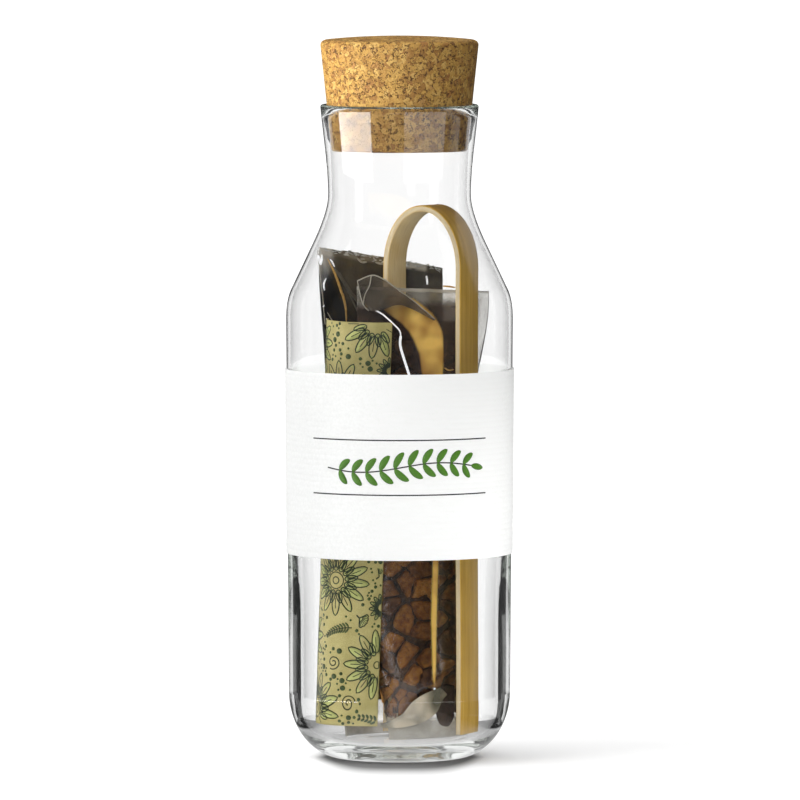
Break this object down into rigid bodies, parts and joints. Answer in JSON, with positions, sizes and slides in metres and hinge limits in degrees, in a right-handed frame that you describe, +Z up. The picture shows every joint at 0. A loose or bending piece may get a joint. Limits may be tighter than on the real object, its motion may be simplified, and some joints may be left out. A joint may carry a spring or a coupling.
{
  "type": "terrarium kit in a corked glass bottle",
  "caption": "Glass bottle with a tapered cork and a paper band, holding the makings of a bottle terrarium: bagged soil, bagged drainage chips, a printed sheet and bamboo tongs.",
  "frame": {"origin": "on the bottle's axis, at the surface the bottle stands on", "axes": "+Z up along the bottle's axis, -Y towards the front, +X to the right seen from the front"},
  "size_m": [0.0926, 0.0926, 0.2916],
  "materials": {
    "bottle_glass": "clear, smooth, thick at the foot",
    "cork": "matt pressed cork granules",
    "label_paper": "white paper with fine cross ribs",
    "printed_paper": "satin paper with a dark green line print",
    "clear_film": "thin clear glossy film",
    "soil": "damp dark crumbs",
    "chips": "rough broken fired clay",
    "bamboo": "satin bamboo with straight fibres"
  },
  "bodies": {
    "root": {"glass_bottle": "bottle_glass", "cork_stopper": "cork", "label_band": "label_paper", "bamboo_tongs": "bamboo", "printed_sheet": "printed_paper", "soil_bag_film": "clear_film", "potting_soil": "soil", "chips_bag_film": "clear_film", "drainage_chip_01": "chips", "drainage_chip_02": "chips", "drainage_chip_03": "chips", "drainage_chip_04": "chips", "drainage_chip_05": "chips", "drainage_chip_06": "chips", "drainage_chip_07": "chips", "drainage_chip_08": "chips", "drainage_chip_09": "chips", "drainage_chip_10": "chips", "drainage_chip_11": "chips", "drainage_chip_12": "chips", "drainage_chip_13": "chips", "drainage_chip_14": "chips", "drainage_chip_15": "chips", "drainage_chip_16": "chips", "drainage_chip_17": "chips", "drainage_chip_18": "chips", "drainage_chip_19": "chips", "drainage_chip_20": "chips", "drainage_chip_21": "chips", "drainage_chip_22": "chips", "drainage_chip_23": "chips", "drainage_chip_24": "chips", "drainage_chip_25": "chips", "drainage_chip_26": "chips", "drainage_chip_27": "chips", "drainage_chip_28": "chips", "drainage_chip_29": "chips", "drainage_chip_30": "chips", "drainage_chip_31": "chips", "drainage_chip_32": "chips", "drainage_chip_33": "chips", "drainage_chip_34": "chips", "drainage_chip_35": "chips", "drainage_chip_36": "chips", "drainage_chip_37": "chips", "drainage_chip_38": "chips", "drainage_chip_39": "chips", "drainage_chip_40": "chips", "drainage_chip_41": "chips", "drainage_chip_42": "chips", "drainage_chip_43": "chips", "drainage_chip_44": "chips", "drainage_chip_45": "chips", "drainage_chip_46": "chips", "drainage_chip_47": "chips", "drainage_chip_48": "chips"}
  },
  "joints": []
}
